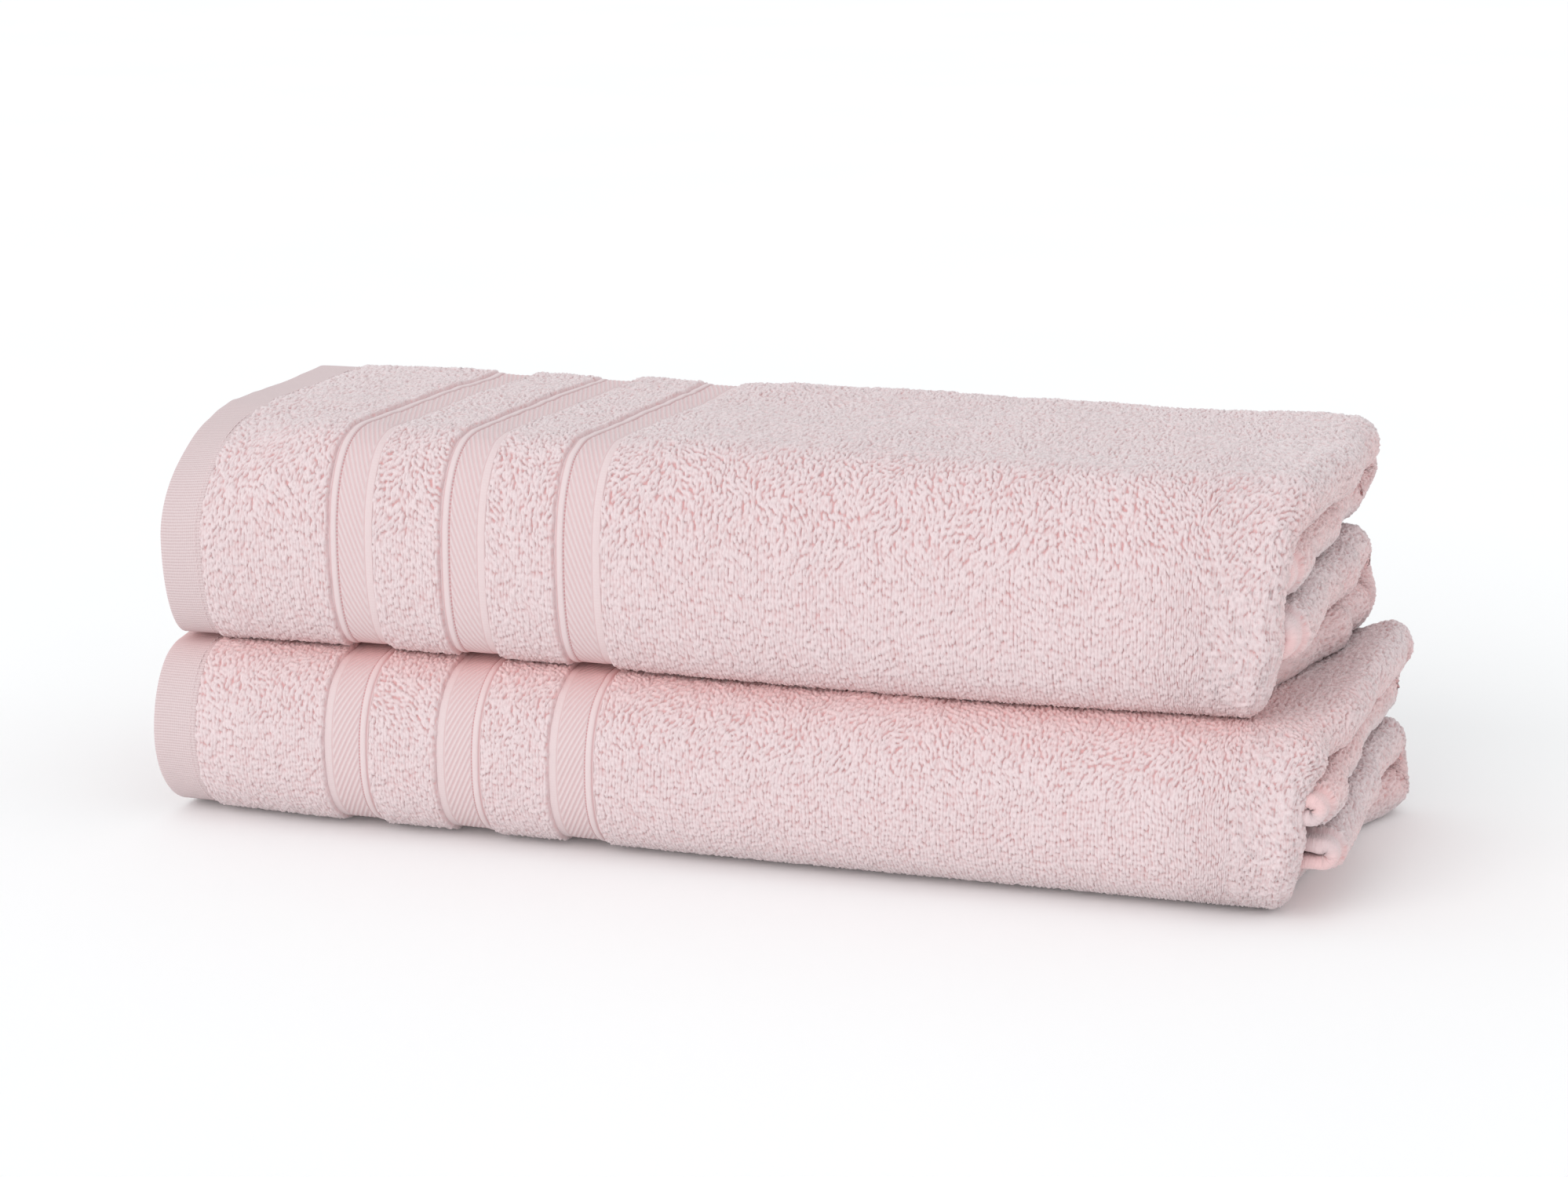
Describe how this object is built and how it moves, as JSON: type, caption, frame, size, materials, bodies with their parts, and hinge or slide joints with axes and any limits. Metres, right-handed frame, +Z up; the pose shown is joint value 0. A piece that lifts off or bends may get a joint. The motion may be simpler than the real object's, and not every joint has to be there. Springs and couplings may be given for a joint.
{
  "type": "bath towel set",
  "caption": "Stack of folded cotton bath towels with rounded front folds, plain end hems and flat twill border bands; the upper towel lifts off the lower one.",
  "frame": {"origin": "bottom centre of the stack's box, on the surface that the lower towel lies on", "axes": "+X along the folded length, away from the hem ends; +Y away from the rounded front folds; +Z up"},
  "size_m": [0.4779, 0.189, 0.1623],
  "materials": {
    "terry": "soft looped cotton pile, pale pink",
    "plain_weave": "flat finely ribbed cotton, pale pink",
    "twill_band": "smooth flat twill cotton, pale pink",
    "sewing_thread": "fine twisted thread, pale pink"
  },
  "bodies": {
    "lower_towel": {"lower_terry_body": "terry", "lower_end_hem": "plain_weave", "lower_hem_thread": "sewing_thread", "lower_border_band_1": "twill_band", "lower_border_band_2": "twill_band", "lower_border_band_3": "twill_band"},
    "upper_towel": {"upper_terry_body": "terry", "upper_end_hem": "plain_weave", "upper_hem_thread": "sewing_thread", "upper_border_band_1": "twill_band", "upper_border_band_2": "twill_band", "upper_border_band_3": "twill_band"}
  },
  "joints": [
    {"name": "upper_towel_lift", "type": "slide", "parent": "lower_towel", "child": "upper_towel", "axis": [0, 0, 1], "range_m": [0, 0.1]}
  ]
}
